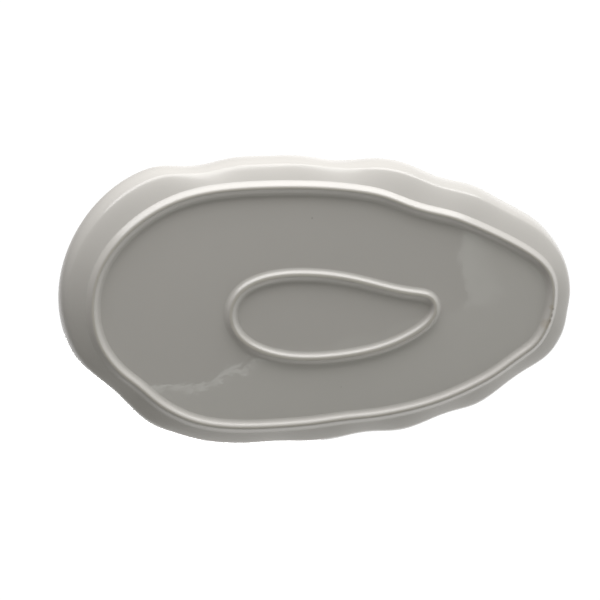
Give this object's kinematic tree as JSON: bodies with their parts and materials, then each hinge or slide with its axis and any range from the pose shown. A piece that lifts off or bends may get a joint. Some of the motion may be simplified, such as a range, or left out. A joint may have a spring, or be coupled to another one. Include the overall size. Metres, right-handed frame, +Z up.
{
  "type": "oblong fish plate",
  "caption": "Long tapering serving plate in glossy white porcelain, with a wavy rim, a shallow well, a foot ring round the underside and a drop-shaped centre foot ring.",
  "frame": {"origin": "on the table under the middle of the plate's bounding box", "axes": "+X towards the narrow tail end, +Z up out of the well, +Y the side with the fuller curve of the centre foot ring"},
  "size_m": [0.35, 0.195, 0.027],
  "materials": {
    "porcelain_glaze": "clear gloss glaze over white porcelain",
    "outer_foot_glaze": "clear gloss glaze, wiped off the crest",
    "centre_foot_glaze": "clear gloss glaze, wiped off the crest"
  },
  "bodies": {
    "root": {"dish": "porcelain_glaze", "outer_foot_ring": "outer_foot_glaze", "centre_foot_ring": "centre_foot_glaze"}
  },
  "joints": []
}
